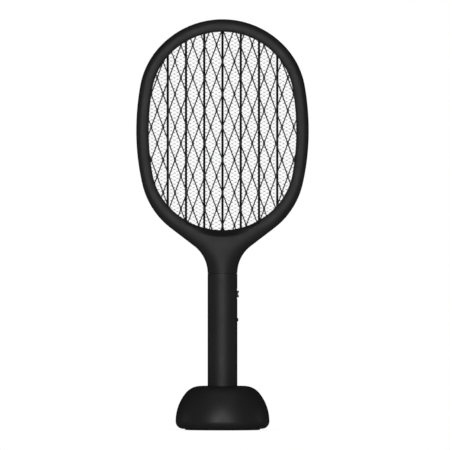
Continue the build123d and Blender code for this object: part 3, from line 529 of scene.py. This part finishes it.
def centre_bonds():
    """Short level welds where neighbouring fine strands touch."""
    bonds = []
    for row in range(-FINE_ROWS, FINE_ROWS + 1):
        for column in range(-FINE_COLUMNS, FINE_COLUMNS + 1):
            if (row + column) % 2 == 0:
                x = column * FINE_WIDTH / 2
                z = HEAD_CENTRE_Z + row * FINE_HEIGHT / 2
                bonds.append([(x - FINE_BOND / 2, z), (x + FINE_BOND / 2, z)])
    return bonds


# ---------------------------------------------------------------- materials
def new_material(name, colour, roughness, metallic=0.0):
    """Principled material with its constants on the shader; returns it with its tree and shader."""
    material = bpy.data.materials.new(name)
    material.use_nodes = True
    shader = material.node_tree.nodes["Principled BSDF"]
    shader.inputs["Base Color"].default_value = (*colour, 1)
    shader.inputs["Roughness"].default_value = roughness
    shader.inputs["Metallic"].default_value = metallic
    return material, material.node_tree, shader


def place(tree, kind, **values):
    """Add a node and set its attributes."""
    made = tree.nodes.new(kind)
    for key, value in values.items():
        setattr(made, key, value)
    return made


def noise(tree, scale, detail=3.0, roughness=0.5, stretch=None):
    """Noise over the object's own coordinates; the scale is in cells per metre."""
    source = place(tree, "ShaderNodeTexCoord")
    output = source.outputs["Object"]
    if stretch:
        mapping = place(tree, "ShaderNodeMapping")
        mapping.inputs["Scale"].default_value = stretch
        tree.links.new(output, mapping.inputs["Vector"])
        output = mapping.outputs["Vector"]
    texture = place(tree, "ShaderNodeTexNoise")
    texture.inputs["Scale"].default_value = scale
    texture.inputs["Detail"].default_value = detail
    texture.inputs["Roughness"].default_value = roughness
    tree.links.new(output, texture.inputs["Vector"])
    return texture.outputs["Fac"]


def remap(tree, value, low, high, to_low, to_high):
    """Value moved from one range to another."""
    mapped = place(tree, "ShaderNodeMapRange")
    for key, number in (("From Min", low), ("From Max", high), ("To Min", to_low), ("To Max", to_high)):
        mapped.inputs[key].default_value = number
    tree.links.new(value, mapped.inputs["Value"])
    return mapped.outputs["Result"]


def vary_colour(tree, shader, value, colour, change):
    """Base colour that drifts between two shades of itself."""
    ramp = place(tree, "ShaderNodeValToRGB")
    ramp.color_ramp.elements[0].position = 0.3
    ramp.color_ramp.elements[1].position = 0.7
    ramp.color_ramp.elements[0].color = (*[channel * (1 - change) for channel in colour], 1)
    ramp.color_ramp.elements[1].color = (*[min(channel * (1 + change), 1) for channel in colour], 1)
    tree.links.new(value, ramp.inputs["Fac"])
    tree.links.new(ramp.outputs["Color"], shader.inputs["Base Color"])


def vary_roughness(tree, shader, value, low, high):
    """Roughness that drifts between two values."""
    tree.links.new(remap(tree, value, 0.3, 0.7, low, high), shader.inputs["Roughness"])


def bump(tree, shader, value, distance_mm):
    """Surface relief of a real height."""
    relief = place(tree, "ShaderNodeBump")
    relief.inputs["Distance"].default_value = distance_mm * MM
    relief.inputs["Strength"].default_value = 1.0
    tree.links.new(value, relief.inputs["Height"])
    tree.links.new(relief.outputs["Normal"], shader.inputs["Normal"])


def moulded_plastic(name, colour, roughness, grain=1600, grain_depth=0.012, drift=0.12, spec=0.5):
    """Moulded plastic: fine spark-eroded grain, slow drift of shade, and handled patches of gloss."""
    material, tree, shader = new_material(name, colour, roughness)
    shader.inputs["Specular IOR Level"].default_value = spec
    slow = noise(tree, 22, 2.0)
    vary_colour(tree, shader, slow, colour, drift)
    vary_roughness(tree, shader, noise(tree, 60, 4.0, 0.6), roughness - 0.04, roughness + 0.05)
    bump(tree, shader, noise(tree, grain, 2.0, 0.6), grain_depth)
    return material


def brushed_metal(name, colour, roughness, stretch=(1, 1, 8), scale=900, depth=0.004):
    """Drawn or brushed metal with fine lines."""
    material, tree, shader = new_material(name, colour, roughness, 1.0)
    lines = noise(tree, scale, 3.0, 0.6, stretch)
    vary_colour(tree, shader, lines, colour, 0.08)
    vary_roughness(tree, shader, lines, roughness - 0.06, roughness + 0.08)
    bump(tree, shader, lines, depth)
    return material


def coated_wire(name):
    """Dark oxide coating on steel, thin in places so that the metal shows a little."""
    colour = (0.012, 0.012, 0.0125)
    material, tree, shader = new_material(name, colour, 0.55, 0.2)
    flecks = noise(tree, 700, 4.0, 0.6)
    vary_colour(tree, shader, flecks, colour, 0.35)
    vary_roughness(tree, shader, flecks, 0.34, 0.52)
    bump(tree, shader, noise(tree, 2500, 2.0), 0.006)
    return material


def smoked_lens(name):
    """Smoked glossy plastic with a faint moulded ripple."""
    colour = (0.009, 0.009, 0.011)
    material, tree, shader = new_material(name, colour, 0.34)
    ripple = noise(tree, 90, 2.0)
    vary_colour(tree, shader, ripple, colour, 0.25)
    bump(tree, shader, ripple, 0.01)
    return material


def rubber(name, colour=(0.02, 0.02, 0.02)):
    """Soft matt rubber with a chalky bloom."""
    material, tree, shader = new_material(name, colour, 0.8)
    vary_colour(tree, shader, noise(tree, 240, 4.0, 0.7), colour, 0.3)
    bump(tree, shader, noise(tree, 1800, 2.0), 0.02)
    return material


def laminate(name):
    """Green board laminate with glass weave and buried copper tracks."""
    colour = (0.012, 0.11, 0.045)
    material, tree, shader = new_material(name, colour, 0.35)
    weave = place(tree, "ShaderNodeTexChecker")
    weave.inputs["Scale"].default_value = 1400
    weave.inputs["Color1"].default_value = (*colour, 1)
    weave.inputs["Color2"].default_value = (0.018, 0.15, 0.06, 1)
    source = place(tree, "ShaderNodeTexCoord")
    tree.links.new(source.outputs["Object"], weave.inputs["Vector"])
    tracks = place(tree, "ShaderNodeTexWave", wave_type="BANDS", bands_direction="Z")
    tracks.inputs["Scale"].default_value = 120
    tracks.inputs["Distortion"].default_value = 6
    tree.links.new(source.outputs["Object"], tracks.inputs["Vector"])
    mix = place(tree, "ShaderNodeMixRGB")
    mix.inputs["Color2"].default_value = (0.03, 0.2, 0.08, 1)
    tree.links.new(remap(tree, tracks.outputs["Fac"], 0.75, 0.85, 0, 1), mix.inputs["Fac"])
    tree.links.new(weave.outputs["Color"], mix.inputs["Color1"])
    tree.links.new(mix.outputs["Color"], shader.inputs["Base Color"])
    bump(tree, shader, tracks.outputs["Fac"], 0.01)
    return material


def make_materials():
    """One finished material for each slot of the record, and the finishes of the head and the stand."""
    charcoal = (0.034, 0.034, 0.0345)
    black = (0.014, 0.014, 0.0145)
    deep_black = (0.004, 0.004, 0.0042)
    return {
        "dark_plastic": moulded_plastic("dark_plastic_satin", charcoal, 0.53),
        "stand_plastic": moulded_plastic("stand_plastic_satin", charcoal, 0.43),
        "head_plastic": moulded_plastic("head_plastic_satin", charcoal, 0.56),
        "control_plastic": moulded_plastic("control_plastic_satin", black, 0.38, 2200, 0.006),
        "rib_plastic": moulded_plastic("rib_plastic_matt", deep_black, 0.7, 1300, 0.01, 0.12, 0.15),
        "guard_net_steel": coated_wire("guard_net_coating"),
        "centre_net_steel": brushed_metal("centre_net_steel_satin", (0.34, 0.34, 0.35), 0.42),
        "smoked_window": smoked_lens("window_smoked"),
        "rubber_black": rubber("rubber_foot"),
        "screw_steel": brushed_metal("screw_zinc", (0.55, 0.55, 0.56), 0.32, (1, 1, 1), 1500),
        "ballast_iron": brushed_metal("ballast_steel", (0.32, 0.31, 0.30), 0.5, (1, 1, 1), 500, 0.02),
        "cell_wrap": moulded_plastic("cell_shrink_wrap", (0.02, 0.09, 0.28), 0.3, 400, 0.01),
        "inner_plastic": moulded_plastic("inner_plastic_grey", (0.18, 0.18, 0.185), 0.5),
        "component_black": moulded_plastic("component_epoxy", (0.02, 0.02, 0.02), 0.55, 2500, 0.01),
        "board_laminate": laminate("board_green"),
        "ferrite": moulded_plastic("ferrite_grey", (0.05, 0.048, 0.046), 0.7, 3000, 0.03, 0.25),
        "winding_tape": moulded_plastic("winding_tape_amber", (0.55, 0.38, 0.05), 0.35, 300, 0.02),
        "socket_metal": brushed_metal("socket_nickel", (0.62, 0.61, 0.58), 0.28),
        "lamp_lens": moulded_plastic("lamp_lens_milky", (0.62, 0.62, 0.58), 0.3, 900, 0.004, 0.05),
        "lead_insulation": rubber("lead_insulation_red", (0.32, 0.02, 0.015)),
    }


# ---------------------------------------------------------------- assemble
def dress_frame_nodes(materials):
    """Every CAD node takes the finished material of its slot; the stand's dome is a little glossier."""
    for entry in frame["record"]["subparts"]:
        finish = "stand_plastic" if entry["node"] == "stand_dome" else entry["material_slot"]
        slots = frame["nodes"][entry["node"]].data.materials
        slots.clear()
        slots.append(materials[finish])


def turned_piece(name, rings, corners=96):
    """Closed round piece from rings (radius, z)."""
    vertices = []
    for ring_radius, z in rings:
        for corner in range(corners):
            angle = 2 * pi * corner / corners
            vertices.append((ring_radius * cos(angle), ring_radius * sin(angle), z))
    return mesh_piece(name, vertices, loop_faces(len(rings), corners), 30)


def neck_spigot(radius=15.3, bottom=176.0, top=190.0):
    """Round plug that joins the head to the handle behind the seam, with a chamfered end."""
    return turned_piece("neck_spigot", [(0.0, bottom), (radius - 1, bottom), (radius, bottom + 1),
                                        (radius, top), (0.0, top)])


def seam_painted_shadow_ring(inner=15.3, outer=17.35, bottom=187.75, top=188.05):
    """Thin black ring that fills the groove between head and handle, a dark piece that paints the seam's
    shadow line.
    """
    return turned_piece("seam_painted_shadow_ring", [(inner, bottom), (outer, bottom), (outer, top), (inner, top)])


def build_head(materials):
    """Head frames, window and nets in place of their plain CAD nodes."""
    plastic = materials["head_plastic"]
    fit(neck_spigot(), "racket", "dark_plastic", plastic)
    # Black ring in the seam: painted shadow that makes the dark seam line.
    fit(seam_painted_shadow_ring(), "racket", "rib_plastic", materials["rib_plastic"])
    front = head_frame("head_front_casing", -1)
    fit(front, "racket", "dark_plastic", plastic, "head_front_frame")
    rear = head_frame("head_rear_casing", 1)
    screws = [oval_point(angle, HEAD_SCREW_INSET) for angle in HEAD_SCREW_ANGLES]
    holes = [(side * x, z, *HEAD_SCREW_RECESS) for x, z in screws for side in (-1, 1)]
    drill(rear, holes + [(0, NECK_SCREW_Z, *NECK_SCREW_RECESS)])
    fit(rear, "racket", "dark_plastic", plastic, "head_rear_frame")
    lens = window_strip()
    fit(lens, "racket", "smoked_window", materials["smoked_window"], "crescent_window")
    strands = guard_strands()
    for end, side in (("front", -1), ("rear", 1)):
        guard = net(end + "_guard_mesh", side * GUARD_Y, strands, GUARD_WIRE, GUARD_THICKNESS, 8)
        fit(guard, "racket", "guard_net_steel", materials["guard_net_steel"], end + "_guard_net")
    fine = net("centre_fine_mesh", 0.0, centre_strands(), FINE_WIRE, FINE_THICKNESS, 4,
               centre_bonds(), FINE_BOND_WIDTH)
    fit(fine, "racket", "centre_net_steel", materials["centre_net_steel"], "centre_net")


# ---------------------------------------------------------------- camera, light and stage
VIEW_WIDTH = 0.540
VIEW_CENTRE = (0.0030, 0.2459)
CAMERA_DISTANCE = 16.0
SENSOR = 36.0


def add_camera():
    """Long lens square to the front, as far up and across as the picture's centre."""
    data = bpy.data.cameras.new("camera")
    data.sensor_width = SENSOR
    data.lens = SENSOR * CAMERA_DISTANCE / VIEW_WIDTH
    data.clip_end = 80
    camera = bpy.data.objects.new("camera", data)
    camera.location = (VIEW_CENTRE[0], -CAMERA_DISTANCE, VIEW_CENTRE[1])
    camera.rotation_euler = (pi / 2, 0, 0)
    bpy.context.scene.collection.objects.link(camera)
    bpy.context.scene.camera = camera


def softbox(name, location, target, size, power):
    """Rectangular soft light turned towards a target and unseen by the camera."""
    data = bpy.data.lights.new(name, "AREA")
    data.shape = "RECTANGLE"
    data.size, data.size_y = size
    data.energy = power
    light = bpy.data.objects.new(name, data)
    light.location = location
    light.rotation_euler = (Vector(target) - Vector(location)).to_track_quat("-Z", "Y").to_euler()
    light.visible_camera = False
    bpy.context.scene.collection.objects.link(light)


def add_world(surround_strength=0.02):
    """White background for the camera, a dim surround for light and reflections."""
    world = bpy.data.worlds.new("studio")
    bpy.context.scene.world = world
    world.use_nodes = True
    tree = world.node_tree
    tree.nodes.clear()
    seen = place(tree, "ShaderNodeBackground")
    seen.inputs["Strength"].default_value = 1.0
    seen.inputs["Color"].default_value = (1, 1, 1, 1)
    surround = place(tree, "ShaderNodeBackground")
    surround.inputs["Strength"].default_value = surround_strength
    surround.inputs["Color"].default_value = (1, 1, 1, 1)
    rays = place(tree, "ShaderNodeLightPath")
    mix = place(tree, "ShaderNodeMixShader")
    output = place(tree, "ShaderNodeOutputWorld")
    tree.links.new(rays.outputs["Is Camera Ray"], mix.inputs["Fac"])
    tree.links.new(surround.outputs["Background"], mix.inputs[1])
    tree.links.new(seen.outputs["Background"], mix.inputs[2])
    tree.links.new(mix.outputs["Shader"], output.inputs["Surface"])


def add_floor(reach=0.05, painted_shadow_darkest=0.86):
    """Plain pale floor as white as the background, darker only close to the stand, where a painted
    contact shadow dims its glow by ambient occlusion.
    """
    bpy.ops.mesh.primitive_plane_add(size=80, location=(0, 0, 0))
    floor = bpy.context.object
    floor.name = "studio_floor"
    material = bpy.data.materials.new("floor_pale_painted_shadow")
    material.use_nodes = True
    tree = material.node_tree
    shader = tree.nodes["Principled BSDF"]
    shader.inputs["Base Color"].default_value = (0.8, 0.8, 0.8, 1)
    shader.inputs["Roughness"].default_value = 1.0
    shader.inputs["Specular IOR Level"].default_value = 0.0
    # Painted contact shadow: occlusion near the stand lowers the glow that the camera sees.
    closeness = place(tree, "ShaderNodeAmbientOcclusion", samples=8)
    closeness.inputs["Distance"].default_value = reach
    emission = place(tree, "ShaderNodeEmission")
    rays = place(tree, "ShaderNodeLightPath")
    both = place(tree, "ShaderNodeMixShader")
    glow_with_painted_shadow = remap(tree, closeness.outputs["AO"], 0.0, 0.9, painted_shadow_darkest, 1.0)
    tree.links.new(glow_with_painted_shadow, emission.inputs["Strength"])
    tree.links.new(rays.outputs["Is Camera Ray"], both.inputs["Fac"])
    tree.links.new(shader.outputs["BSDF"], both.inputs[1])
    tree.links.new(emission.outputs["Emission"], both.inputs[2])
    tree.links.new(both.outputs["Shader"], tree.nodes["Material Output"].inputs["Surface"])
    floor.data.materials.append(material)


# Name, place, target, size and power of each light.
SOFTBOXES = (
    ("front_softbox", (-0.14, -2.4, 0.175), (0, 0, 0.17), (1.9, 0.33), 14.5),
    ("stand_softbox", (-0.1, -1.5, 0.62), (0, 0, 0.03), (0.5, 0.4), 1.5),
    ("top_softbox", (0.0, -0.6, 2.2), (0, 0, 0), (2.4, 2.4), 2.5),
    ("left_softbox", (-2.2, 0.5, 0.1), (0, 0, 0.03), (0.6, 0.5), 0.8),
    ("right_softbox", (2.2, 0.5, 0.1), (0, 0, 0.03), (0.6, 0.5), 0.8),
)


def add_studio():
    """Camera, lights, world and floor."""
    add_camera()
    for light in SOFTBOXES:
        softbox(*light)
    add_world()
    add_floor()
    bpy.context.scene.view_settings.view_transform = "Standard"


add_studio()
finishes = make_materials()
dress_frame_nodes(finishes)
build_head(finishes)
